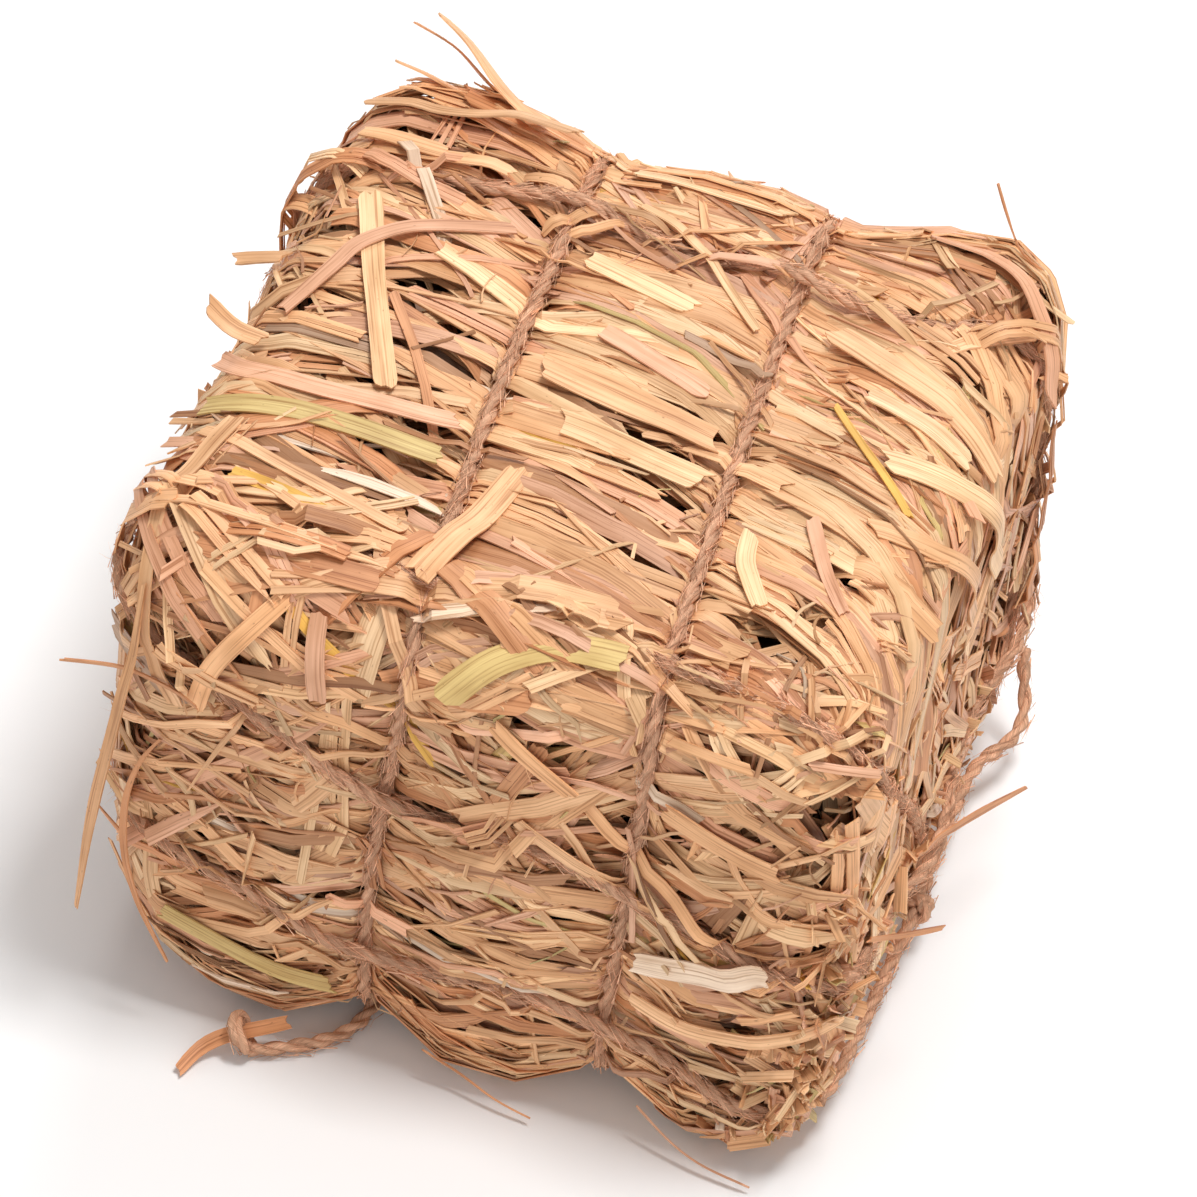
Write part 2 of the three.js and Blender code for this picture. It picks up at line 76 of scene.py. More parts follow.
def add_camera():
    """The camera, at the photo's angle."""
    azimuth, elevation, roll = (
        math.radians(CAMERA[key]) for key in ("azimuth", "elevation", "roll")
    )
    back = Vector((
        math.sin(azimuth) * math.cos(elevation),
        -math.cos(azimuth) * math.cos(elevation),
        math.sin(elevation),
    ))
    level = UP.cross(back).normalized()
    upright = back.cross(level)
    right = math.cos(roll) * level + math.sin(roll) * upright
    above = math.cos(roll) * upright - math.sin(roll) * level
    low, high = (Vector(corner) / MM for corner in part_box("packed_straw"))
    aim = Vector((0, 0, (low.z + high.z) / 2 - CAMERA["lower"]))
    place = aim + CAMERA["distance"] * back + CAMERA["aside"] * right + CAMERA["above"] * above
    data = bpy.data.cameras.new("camera")
    data.lens = CAMERA["lens"]
    data.sensor_width = CAMERA["sensor"]
    data.clip_end = FAR_CLIP
    turn = Matrix((right, above, back)).transposed().to_4x4()
    bpy.context.scene.camera = put("camera", data, Matrix.Translation(place * MM) @ turn)


add_camera()

TWINE = 2.3  # diameter
# Each string runs through these points, the same as in part.mjs.
END_STRING = [
    (60.8, 47, 19), (61.2, 46.6, 15), (62.2, 45, 11.6), (63.2, 41.4, 9.8), (62.8, 37, 9.2),
    (61, 33.4, 9), (59.4, 29.6, 9.1), (58.6, 24, 9.1), (58.5, 16, 8.9), (58.6, 8, 8.6),
    (58.9, 0, 8.4), (58.8, -10, 8.3), (58.5, -20, 8.3), (58.2, -30, 8.4), (57.9, -39, 8.6),
    (57.6, -44.6, 8.9), (56.9, -48.6, 9.3),
]
END_KNOT_AT = Vector((58.9, -2, 8.4))
TAIL_STRING = [
    (-14.5, -30, 1.3), (-14.5, -33, 1.3), (-14.5, -36, 1.3), (-14.5, -39, 1.3), (-14.5, -42, 1.3),
    (-14.6, -45, 1.3), (-14.8, -48, 1.3), (-15.2, -50.6, 1.3), (-16, -53, 1.3), (-17.2, -55.1, 1.3),
    (-18.8, -57, 1.3), (-20.5, -58.6, 1.3), (-22.4, -60, 1.4), (-26, -62.4, 1.5),
    (-29.6, -64.2, 1.6),
]
TAIL_KNOT_AT = Vector((-31, -63, 3.9))

# ---- The block's surface: every point has a foot on an inner block, and "up" points away from it ----

BODY = frame["nodes"]["packed_straw"].data
body_tree = BVHTree.FromPolygons(
    [v.co / MM for v in BODY.vertices], [p.vertices for p in BODY.polygons]
)
body_low, body_high = (Vector(corner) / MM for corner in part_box("packed_straw"))
INNER_INSET = Vector((14, 16, 18))
inner_low = body_low + INNER_INSET
inner_high = body_high - INNER_INSET
REACH = 150  # longer than the way from any foot to the outside
SHELL = 17  # how far from the inner block the grid's cells are
CELL = 1.1


def stand(point):
    """The foot of a point on the inner block, and its up direction."""
    foot = Vector(
        min(max(point[i], inner_low[i]), inner_high[i]) for i in range(3)
    )
    above = point - foot
    if above.length < 1e-6:
        above = UP.copy()
    return foot, above.normalized()


def ground(point):
    """The foot of a point, its up direction, and how far the block's surface is from the foot."""
    foot, above = stand(point)
    hit = body_tree.ray_cast(foot + above * REACH, -above, REACH)
    return foot, above, (REACH - hit[3] if hit[0] else SHELL)


# ---- The pile: how high the straw laid so far reaches over each spot, and how high more may reach ----

low_np, high_np = np.array(inner_low), np.array(inner_high)
grid_from = low_np - SHELL - 3 * CELL
grid_shape = np.ceil((high_np - low_np + 2 * SHELL + 6 * CELL) / CELL).astype(int)
BURIED = -7.5  # the core's height, under the block's own surface
CEILING = 0.3
UNDERSIDE_CEILING = -0.45
pile = np.full(grid_shape, BURIED)
ceiling = np.full(grid_shape, CEILING)


def unit(vectors):
    return vectors / np.maximum(np.linalg.norm(vectors, axis=-1, keepdims=True), 1e-6)


def cells_at(points):
    """The cells of the pile that lie over or under the points."""
    points = np.asarray(points, float)
    feet = np.clip(points, low_np, high_np)
    spots = ((feet + SHELL * unit(points - feet) - grid_from) / CELL).astype(int)
    return tuple(np.moveaxis(np.clip(spots, 0, grid_shape - 1), -1, 0))


def smoothed(values, passes):
    values = np.array(values, float)
    for _ in range(passes):
        values[1:-1] = (values[:-2] + 2 * values[1:-1] + values[2:]) / 4
    return values


def bridged(heights, passes):
    """A stiff straw spans the hollows between the high spots that it lies on."""
    heights = np.array(heights, float)
    for _ in range(passes):
        heights[1:-1] = np.maximum(heights[1:-1], (heights[:-2] + heights[2:]) / 2)
    return heights


# ---- Joined meshes of closed strips ----

CRISP_ANGLE = 38  # degrees: sharper edges than this are not smoothed


class Piece:
    """Collects closed rings of points and makes one mesh of them, in metres."""

    def __init__(self, name):
        self.name = name
        self.places, self.faces, self.tones, self.grains = [], [], [], []
        self.lids = []
        self.count = 0

    def add(self, rings, tone, grain, closed=False):
        """rings is an array (along, around, 3), grain (along, around, 3), tone (along, 3)."""
        along, around = rings.shape[:2]
        first = self.count
        self.places.append(rings.reshape(-1, 3))
        self.tones.append(np.repeat(tone, around, axis=0))
        self.grains.append(grain.reshape(-1, 3))
        self.count += along * around
        spans = along if closed else along - 1
        i, j = np.meshgrid(np.arange(spans), np.arange(around), indexing="ij")
        k = (j + 1) % around
        here, ahead = first + i * around, first + ((i + 1) % along) * around
        quads = np.stack([here + j, here + k, ahead + k, ahead + j], axis=-1)
        self.faces.append(quads.reshape(-1, 4))
        if closed:
            return
        last = first + (along - 1) * around
        if around == 3:
            self.lids += [[first, first + 2, first + 1], [last, last + 1, last + 2]]
            return
        lids = []
        for m in range(around // 2 - 1):
            near, far = (m, m + 1), (around - 2 - m, around - 1 - m)
            lids.append([first + near[0], first + far[1], first + far[0], first + near[1]])
            lids.append([last + near[0], last + near[1], last + far[0], last + far[1]])
        self.faces.append(np.array(lids))

    def build(self, material, slot, *nodes, crisp=True):
        places = np.concatenate(self.places) * MM
        places[:, 2] = np.maximum(places[:, 2], 0)  # nothing goes through the floor
        quads = np.concatenate(self.faces)
        lids = np.array(self.lids, int).reshape(-1, 3)
        totals = np.concatenate([np.full(len(quads), 4), np.full(len(lids), 3)])
        mesh = bpy.data.meshes.new(self.name)
        mesh.vertices.add(len(places))
        mesh.vertices.foreach_set("co", places.ravel())
        mesh.loops.add(quads.size + lids.size)
        mesh.loops.foreach_set("vertex_index", np.concatenate([quads.ravel(), lids.ravel()]))
        mesh.polygons.add(len(totals))
        mesh.polygons.foreach_set("loop_start", np.cumsum(totals) - totals)
        mesh.polygons.foreach_set("loop_total", totals)
        mesh.update(calc_edges=True)
        mesh.shade_smooth()
        if crisp:
            mesh.set_sharp_from_angle(angle=math.radians(CRISP_ANGLE))
        tone = mesh.attributes.new("tone", "FLOAT_COLOR", "POINT")
        colours = np.concatenate([np.concatenate(self.tones), np.ones((len(places), 1))], axis=1)
        tone.data.foreach_set("color", colours.ravel())
        grain = mesh.attributes.new("grain", "FLOAT_VECTOR", "POINT")
        grain.data.foreach_set("vector", np.concatenate(self.grains).ravel())
        mesh.materials.append(material)
        piece = put(self.name, mesh)
        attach(piece, "root")
        if nodes:
            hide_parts(*nodes)
        return piece


# ---- Materials ----

class Shading:
    """A new material, and the kinds of node that the materials here have in common."""

    def __init__(self, name, roughness, specular=0.5):
        self.material = bpy.data.materials.new(name)
        self.material.use_nodes = True
        self.nodes, self.links = self.material.node_tree.nodes, self.material.node_tree.links
        self.shader = self.nodes["Principled BSDF"].inputs
        self.shader["Roughness"].default_value = roughness
        self.shader["Specular IOR Level"].default_value = specular

    def attribute(self, name):
        node = self.nodes.new("ShaderNodeAttribute")
        node.attribute_name = name
        return node.outputs

    def streaks(self, scale, detail):
        """Noise drawn out along the strip: scale is (along, across, from one strip to the next)."""
        stretch = self.nodes.new("ShaderNodeMapping")
        stretch.inputs["Scale"].default_value = scale
        noise = self.nodes.new("ShaderNodeTexNoise")
        noise.inputs["Scale"].default_value = 1
        noise.inputs["Detail"].default_value = detail
        self.links.new(self.attribute("grain")["Vector"], stretch.inputs["Vector"])
        self.links.new(stretch.outputs["Vector"], noise.inputs["Vector"])
        return noise.outputs["Fac"]

    def ramp(self, source, *stops):
        """Turns a value into colours: each stop is (place, colour)."""
        node = self.nodes.new("ShaderNodeValToRGB")
        self.links.new(source, node.inputs["Fac"])
        elements = node.color_ramp.elements
        for element, (place, colour) in zip(elements, (stops[0], stops[-1])):
            element.position = place
            element.color = (*colour, 1)
        for place, colour in stops[1:-1]:
            elements.new(place).color = (*colour, 1)
        return node.outputs["Color"]

    def multiply(self, first, second, amount):
        node = self.nodes.new("ShaderNodeMix")
        node.data_type = "RGBA"
        node.blend_type = "MULTIPLY"
        node.inputs["Factor"].default_value = amount
        self.links.new(first, node.inputs["A"])
        self.links.new(second, node.inputs["B"])
        return node.outputs["Result"]

    def finish(self, colour, ridges=None, strength=0, depth=0):
        """Sets the colour, and small ridges of a depth in millimetres."""
        self.links.new(colour, self.shader["Base Color"])
        if ridges is None:
            return self.material
        bump = self.nodes.new("ShaderNodeBump")
        bump.inputs["Strength"].default_value = strength
        bump.inputs["Distance"].default_value = depth * MM
        self.links.new(ridges, bump.inputs["Height"])
        self.links.new(bump.outputs["Normal"], self.shader["Normal"])
        return self.material


def straw_material():
    """Dry flattened stalks: fine ribs along the straw, streaks, stains and small dark freckles."""
    straw = Shading("dry_straw", roughness=0.5, specular=0.35)
    ribs = straw.streaks((0.05, 3.2, 1), 3)
    broad = straw.streaks((0.03, 0.7, 1), 2)
    patches = straw.streaks((0.12, 0.25, 1), 2)
    freckles = straw.streaks((0.8, 2.2, 1), 1)
    stains = (
        # (pattern, how strongly it shows, stops of its colours)
        (ribs, 0.85, (0.34, (0.58, 0.44, 0.33)), (0.47, (0.97, 0.95, 0.92)), (0.7, (1.08, 1.1, 1.1))),
        (broad, 0.8, (0.32, (0.80, 0.72, 0.64)), (0.55, (1, 1, 1)), (0.75, (1.08, 1.1, 1.12))),
        (patches, 0.8, (0.3, (0.84, 0.78, 0.7)), (0.6, (1.04, 1.04, 1.03))),
        (freckles, 0.7, (0.2, (0.35, 0.25, 0.18)), (0.27, (1, 1, 1))),
    )
    colour = straw.attribute("tone")["Color"]
    for pattern, amount, *stops in stains:
        colour = straw.multiply(colour, straw.ramp(pattern, *stops), amount)
    return straw.finish(colour, ribs, strength=0.5, depth=0.12)


def core_material():
    """Painted shade: the inside of the bundle, seen only through gaps, coloured near black for the shade
    that falls there.
    """
    core = Shading("shaded_straw", roughness=0.95)
    noise = core.nodes.new("ShaderNodeTexNoise")
    noise.inputs["Scale"].default_value = 900
    dark, less_dark = (0.05, 0.022, 0.009), (0.16, 0.08, 0.035)
    return core.finish(core.ramp(noise.outputs["Fac"], (0, dark), (1, less_dark)))


def jute_material():
    """Brown jute: matt, with fine fibres along each ply."""
    jute = Shading("jute", roughness=0.9, specular=0.15)
    fine = jute.streaks((0.35, 5, 1), 4)
    shades = jute.ramp(fine, (0.3, (0.55, 0.47, 0.43)), (0.7, (1.25, 1.2, 1.15)))
    colour = jute.multiply(jute.attribute("tone")["Color"], shades, 1)
    return jute.finish(colour, fine, strength=0.8, depth=0.2)


STRAW = straw_material()
# The core's near-black colour is painted shade for the gaps between the straws.
CORE = core_material()
JUTE = jute_material()

TONES = {
    "pale": (0.94, 0.62, 0.36),
    "gold": (0.90, 0.52, 0.28),
    "pink": (0.84, 0.46, 0.29),
    "orange": (0.72, 0.34, 0.165),
    "green": (0.70, 0.52, 0.22),
    "yellow": (0.84, 0.50, 0.11),
    "white": (0.90, 0.70, 0.54),
    "grey": (0.58, 0.38, 0.26),
    "brown": (0.48, 0.24, 0.12),
}
# How common each tone is among the straws that have no name.
MIX = {
    "gold": 42, "pale": 22, "pink": 17, "orange": 13, "brown": 3,
    "grey": 1, "green": 1.3, "yellow": 0.4, "white": 0.5,
}


def some_tone(shade):
    name = draw.choices(list(MIX), list(MIX.values()))[0]
    return varied(name, shade)


def varied(name, shade=1.0):
    """A tone a little brighter or darker at random, and a little warmer or colder, scaled by shade, which
    is low for deep straws as painted shade.
    """
    bright = shade * between(0.86, 1.08)
    warm = between(-0.05, 0.05)
    red, green, blue = TONES[name]
    return np.array((red * bright, green * bright * (1 - warm), blue * bright * (1 - 2 * warm)))


# ---- Straws ----

STEP = 1.5  # between the places of a route
END_BEND = 7  # the length that bends up or down at each end
LONGEST_SPAN = 9  # a thinned line keeps at least one place in so many
SLACK, DEEP_SLACK = 0.16, 0.5  # how far a thinned line may leave its full course
DEEP = -2  # a straw whose level is under this is hardly seen
THIN, SPLIT_FROM, WIDE = 1.3, 2.2, 2.6  # widths
FEWEST_UNDER, MOST_OVER = 1.2, 2.8  # by width, a ribbon has 2, 3 or 5 places across
SETTLED_THICKNESS = 0.22
PROFILES = {2: (0, 0), 3: (0, 1, 0), 5: (0, 0.78, 1, 0.74, 0)}  # places across a ribbon: its top


class Route:
    """Places on the block's surface, with the way up, the way across and the heading at each."""

    def __init__(self, places, ups, headings):
        self.places, self.ups, self.headings = (np.array(a) for a in (places, ups, headings))
        self.sides = unit(np.cross(self.headings, self.ups))


def walk(start, heading, length, turn, kinks, stop, leave):
    """A route over the surface. turn is in radians per millimetre, kinks are (fraction, angle), and
    over the last millimetres given by leave it goes straight on, off the surface."""
    foot, above, height = ground(start)
    place = foot + above * height
    heading = (heading - above * heading.dot(above)).normalized()
    count = max(4, round(length / STEP))
    kink_at = {round(fraction * count): angle for fraction, angle in kinks}
    places, ups, headings = [], [], []
    for i in range(count + 1):
        places.append(place)
        ups.append(above)
        headings.append(heading)
        if (count - i) * STEP <= leave:
            place = place + heading * STEP
            continue
        angle = turn * STEP + kink_at.get(i, 0)
        heading = Quaternion(above, angle) @ heading
        foot, above, height = ground(place + heading * STEP)
        after = foot + above * height
        heading = after - place
        heading = (heading - above * heading.dot(above)).normalized()
        place = after
        if stop and stop(place) and len(places) > 3:
            break
    return Route(places, ups, headings)


def settle(route, width, level, limit, bridging, ends, crown):
    """How high a straw lies over the ground on the straw that is already there."""
    offsets = np.linspace(-0.5, 0.5, max(2, math.ceil(width / CELL) + 1)) * width
    spots = route.places[:, None] + route.sides[:, None] * offsets[None, :, None]
    cells = cells_at(spots)
    under = pile[cells].max(axis=1)
    heights = bridged(smoothed(under, 1), bridging) + SETTLED_THICKNESS / 2
    roof = ceiling[cells].min(axis=1) if limit is None else limit
    heights = np.minimum(np.maximum(heights, level), roof)
    heights = smoothed(heights, 2)
    from_start = np.arange(len(heights)) * STEP
    for change, away in zip(ends, (from_start, from_start[::-1])):
        heights += change * np.clip(1 - away / END_BEND, 0, 1) ** 2
    top = np.repeat((heights + SETTLED_THICKNESS / 2 + crown)[:, None], len(offsets), axis=1)
    np.maximum.at(pile, cells, np.minimum(top, ceiling[cells] + 0.5))
    return heights


def distances(line):
    """How far along a line each of its places is."""
    return np.concatenate([[0], np.cumsum(np.linalg.norm(np.diff(line, axis=0), axis=1))])


def needed(places, slack):
    """The places of a line that keep it within slack of its full course."""
    kept = {0, len(places) - 1}
    spans = [(0, len(places) - 1)]
    while spans:
        first, last = spans.pop()
        if last - first < 2:
            continue
        chord = places[last] - places[first]
        chord = chord / max(np.linalg.norm(chord), 1e-6)
        off = places[first + 1:last] - places[first]
        off = off - (off @ chord)[:, None] * chord
        away = np.einsum("ij,ij->i", off, off)
        worst = int(away.argmax())
        if away[worst] > slack ** 2 or last - first > LONGEST_SPAN:
            middle = first + 1 + worst
            if away[worst] <= slack ** 2:
                middle = (first + last) // 2
            kept.add(middle)
            spans += [(first, middle), (middle, last)]
    return sorted(kept)


def end_taper(distance, start, finish):
    """Width along a straw: each end is (share of the width left at the tip, length of the taper)."""
    total = distance[-1]
    shares = []
    for (left, run), away in ((start, distance), (finish, total - distance)):
        shares.append(left + (1 - left) * np.clip(away / max(run, 1e-3), 0, 1))
    return shares[0] * shares[1]


def ribbon(piece, centres, sides, ups, width, tone, across, crown, ragged, roll=0.0, roll_change=0.0,
           thickness=0.24, start=(1, 0), finish=(1, 0), ribs=0.03):
    """One flattened straw along its centre line, as a closed strip with a curved top."""
    count = len(centres)
    distance = distances(centres)
    taper = end_taper(distance, start, finish)
    wave = np.sin(distance / distance[-1] * between(2, 6) + between(0, 6))
    half = width / 2 * taper * (1 + 0.07 * wave)
    angle = roll + roll_change * (distance / distance[-1] - 0.5) + 0.08 * wave
    cos, sin = np.cos(angle)[:, None], np.sin(angle)[:, None]
    flat = cos * sides + sin * ups
    proud = cos * ups - sin * sides
    share = np.linspace(-1, 1, across)
    profile = np.array(PROFILES[across]) * crown * width
    profile = profile + np.array([between(-ribs, ribs) for _ in range(across)])
    top = (
        centres[:, None]
        + flat[:, None] * (share[None, :] * half[:, None])[..., None]
        + proud[:, None] * (profile[None, :] * taper[:, None])[..., None]
    )
    # Torn tips, which never reach back over the whole of the last span.
    for tip, inner in ((0, 1), (-1, -2)):
        away = centres[tip] - centres[inner]
        span = np.linalg.norm(away)
        slant = between(-1, 1) * ragged
        for j in range(across):
            shift = slant * share[j] + between(-0.6, 0.6) * ragged
            top[tip, j] += away / span * max(shift, -0.6 * span)
    below = top - proud[:, None] * thickness
    rings = np.concatenate([top, below[:, ::-1]], axis=1)
    # Each strip reads its own part of the noise.
    distance = distance + between(0, 400)
    seed = between(0, 100)
    both = np.concatenate([share, share[::-1]])
    grain = np.stack([
        np.repeat(distance[:, None], 2 * across, axis=1),
        both[None, :] * half[:, None],
        np.full((count, 2 * across), seed),
    ], axis=-1)
    piece.add(rings, np.tile(tone, (count, 1)), grain)


def some_end():
    """How a tip narrows: (share of the width left, length of the taper)."""
    if draw.random() < 0.7:
        return (1, 0)
    return (between(0.1, 0.5), between(4, 12))


def some_bends(tucked):
    """How far each end rises over the pile or is tucked down into it."""
    return [
        -between(2, 4) if draw.random() < tucked else max(0, draw.gauss(-0.1, 0.7)) for _ in range(2)
    ]


def lay_straw(piece, start, heading, length, width, level, shade=1.0, limit=None, tucked=0.6,
              turn=None, kinks=None, stop=None, bridging=4, leave=0):
    """level is how low the straw may sink, limit how high it may lie, tucked the chance that an end
    goes down into the pile, and bridging how stiff the straw is."""
    if turn is None:
        turn = draw.gauss(0, 0.004)
    if kinks is None:
        kinks = []
        if draw.random() < 0.2:
            kinks.append((between(0.2, 0.8), draw.choice((-1, 1)) * between(0.2, 0.9)))
    route = walk(start, heading, length, turn, kinks, stop, leave)
    if len(route.places) < 5:
        return
    crown = draw.choice((1, 1, -0.8)) * between(0.01, 0.09)
    bends = some_bends(tucked)
    if leave:
        bends[1] = 0
    heights = settle(route, width, level, limit, bridging, bends, max(0, crown) * width)
    if leave:
        gone = min(max(2, round(leave / STEP)), len(heights) - 1)
        heights[-gone:] = heights[-gone - 1]
    centres = route.places + route.ups * heights[:, None]
    keep = needed(centres, SLACK if level > DEEP else DEEP_SLACK)
    centres, sides, ups = centres[keep], route.sides[keep], route.ups[keep]
    tone = some_tone(shade)
    if width < THIN:
        tone = tone * between(0.7, 1)
    roll = draw.gauss(0, 0.13 if width > WIDE else 0.32)
    strands = draw.choice((2, 2, 3)) if width > SPLIT_FROM and draw.random() < 0.4 else 1
    apart = between(0, 0.9)
    along = np.linspace(0, 1, len(centres))
    if draw.random() < 0.5:
        along = along[::-1]
    for k in range(strands):
        offset = (k - (strands - 1) / 2) / strands * width
        shift = offset * (1 + apart * along ** 2)
        thin = width / strands * (0.94 if strands > 1 else 1)
        across = 2 if thin < FEWEST_UNDER else 3
        if thin > MOST_OVER and level > DEEP:
            across = 5
        ribbon(
            piece, centres + sides * shift[:, None] + ups * between(-0.1, 0.1), sides, ups, thin,
            tone * between(0.93, 1.05), across, crown, min(1.6, 0.45 * thin),
            roll=roll, roll_change=draw.gauss(0, 0.2), thickness=between(0.16, 0.3),
            start=some_end(), finish=some_end(),
        )


# ---- Reading the CAD pieces: each strip and twine back to its middle line ----

def welded(node):
    """A CAD piece's corners, each once, and which are joined by an edge."""
    mesh = frame["nodes"][node].data
    spots, places, index = {}, [], []
    for vertex in mesh.vertices:
        key = tuple(round(c / MM, 2) for c in vertex.co)
        if key not in spots:
            spots[key] = len(places)
            places.append(Vector(key))
        index.append(spots[key])
    links = [set() for _ in places]
    for edge in mesh.edges:
        a, b = (index[v] for v in edge.vertices)
        if a != b:
            links[a].add(b)
            links[b].add(a)
    return places, links


def layers(links, first):
    """Corners in layers, each one edge farther from the first ones."""
    seen = set(first)
    found = [sorted(first)]
    while True:
        ahead = sorted({n for v in found[-1] for n in links[v]} - seen)
        if not ahead:
            return found
        seen.update(ahead)
        found.append(ahead)


def strip_line(node):
    """Centres, ways across and ways up along a flat strip, and its width."""
    places, links = welded(node)
    tip = places[layers(links, [0])[-1][0]]
    first = sorted(range(len(places)), key=lambda i: (places[i] - tip).length)[:4]
    centres, sides, ups, widths = [], [], [], []
    for layer in layers(links, first):
        ring = [places[i] for i in layer]
        if len(ring) != 4:
            continue
        centre = sum(ring, Vector()) / 4
        near = min(ring[1:], key=lambda p: (p - ring[0]).length)
        side = 2 * (centre - (ring[0] + near) / 2)
        widths.append(side.length)
        side.normalize()
        if sides and side.dot(sides[-1]) < 0:
            side.negate()
        centres.append(centre)
        sides.append(side)
    for i, centre in enumerate(centres):
        ahead = centres[min(i + 1, len(centres) - 1)] - centres[max(i - 1, 0)]
        ups.append(sides[i].cross(ahead).normalized())
    if sum(u.dot(stand(c)[1]) for u, c in zip(ups, centres)) < 0:
        sides = [-s for s in sides]
        ups = [-u for u in ups]
    return centres, sides, ups, sum(widths) / len(widths)


def twine_line(node, closed):
    """A twine's middle line: the corners gathered round each of its places, put in order."""
    places, _ = welded(node)
    groups = []
    for place in places:
        for group in groups:
            if (group[0] - place).length < TWINE + 0.15:
                group.append(place)
                break
        else:
            groups.append([place])
    centres = [sum(g, Vector()) / len(g) for g in groups]

    def second_nearest(centre):
        return sorted((c - centre).length for c in centres)[2]

    here = centres[0] if closed else max(centres, key=second_nearest)
    line = [here]
    rest = [c for c in centres if c is not here]
    while rest:
        here = min(rest, key=lambda c: (c - here).length)
        rest = [c for c in rest if c is not here]
        line.append(here)
    return line


def curve(points, spacing, closed=False):
    """A smooth line through the points, with evenly spaced places, and its length."""
    points = [np.array(p, float) for p in points]
    count = len(points)
    dense = []
    for i in range(count if closed else count - 1):
        near = [i + k for k in (-1, 0, 1, 2)]
        a, b, c, d = (points[n % count if closed else min(max(n, 0), count - 1)] for n in near)
        for t in np.linspace(0, 1, 12, endpoint=False):
            dense.append(0.5 * (
                2 * b + (c - a) * t + (2 * a - 5 * b + 4 * c - d) * t ** 2
                + (3 * b - a - 3 * c + d) * t ** 3
            ))
    dense.append(points[0] if closed else points[-1])
    dense = np.array(dense)
    walked = distances(dense)
    total = walked[-1]
    steps = max(3, round(total / spacing))
    wanted = np.linspace(0, total, steps + 1)
    if closed:
        wanted = wanted[:-1]
    return np.stack([np.interp(wanted, walked, dense[:, k]) for k in range(3)], axis=1), total


# ---- Twine ----

PLY_RADIUS = 0.7
PLY_OFFSET = 0.47
TURN_LENGTH = 8.5
PLY_SIDES = 6
TWINE_STEP = 0.75
JUTE_TONE = np.array((0.78, 0.48, 0.32))
UNSEEN_BELOW = 0.8  # this close to the floor a twine needs no fibres
LYING_PLACES, LYING_STRIDE = 3, 3
PRESS_REACH, PRESS_STEP = 6, 0.8  # how far beside a twine the straw is held down
PRESS_DEPTH, PRESS_RISE = 1.35, 0.05  # how far under its middle, and how that eases
COVER_REACH, COVER_RADIUS = 1.1, 1.25


def framed(line, closed):
    """Headings, ways across and ways up along a line."""
    if closed:
        headings = np.roll(line, -1, axis=0) - np.roll(line, 1, axis=0)
    else:
        headings = np.gradient(line, axis=0)
    headings = unit(headings)
    ups = np.array([stand(Vector(p))[1] for p in line])
    ups = unit(ups - headings * (ups * headings).sum(axis=1, keepdims=True))
    return headings, np.cross(headings, ups), ups


def ply(piece, line, closed, phase, turns, length):
    """One of a twine's two plies, winding round its middle line."""
    _, sides, ups = framed(line, closed)
    along = np.linspace(0, 1, len(line), endpoint=not closed)
    angle = 2 * np.pi * turns * along + phase
    middle = line + PLY_OFFSET * (np.cos(angle)[:, None] * ups + np.sin(angle)[:, None] * sides)
    wave = 1 + 0.08 * np.sin(along * length * 0.9 + phase)
    around = np.arange(PLY_SIDES) / PLY_SIDES * 2 * np.pi
    radial = (
        np.cos(around)[None, :, None] * ups[:, None] - np.sin(around)[None, :, None] * sides[:, None]
    )
    rings = middle[:, None] + radial * PLY_RADIUS * wave[:, None, None]
    distance = along * length
    grain = np.stack([
        np.repeat(distance[:, None], PLY_SIDES, axis=1),
        around[None, :] + 0.9 * distance[:, None],
        np.full((len(line), PLY_SIDES), phase),
    ], axis=-1)
    tone = JUTE_TONE[None, :] * (1 + 0.1 * np.sin(distance * 0.23 + phase))[:, None]
    piece.add(rings[:, ::-1], tone, grain, closed)


def twine(piece, line, closed, length):
    turns = max(1, round(length / TURN_LENGTH))
    for phase in (0, math.pi):
        ply(piece, line, closed, phase, turns, length)


def fibre(piece, path, out, side, thick):
    """One fibre: a thin three-sided strip along a path, narrowing to its tip."""
    count = len(path)
    radius = thick * (1.1 - np.linspace(0, 1, count))[:, None]
    rings = np.stack(
        [path + radius * (math.cos(a) * out + math.sin(a) * side) for a in (0.0, 2.09, 4.19)], axis=1
    )
    grain = np.zeros(rings.shape) + between(0, 50)
    tone = np.tile(JUTE_TONE * between(0.75, 1.5), (count, 1))
    piece.add(rings, tone, grain)


def some_places(line, count):
    """Places drawn along a line, as numbers, without those next to the floor."""
    for _ in range(count):
        i = draw.randrange(len(line))
        if line[i][2] >= UNSEEN_BELOW:
            yield i


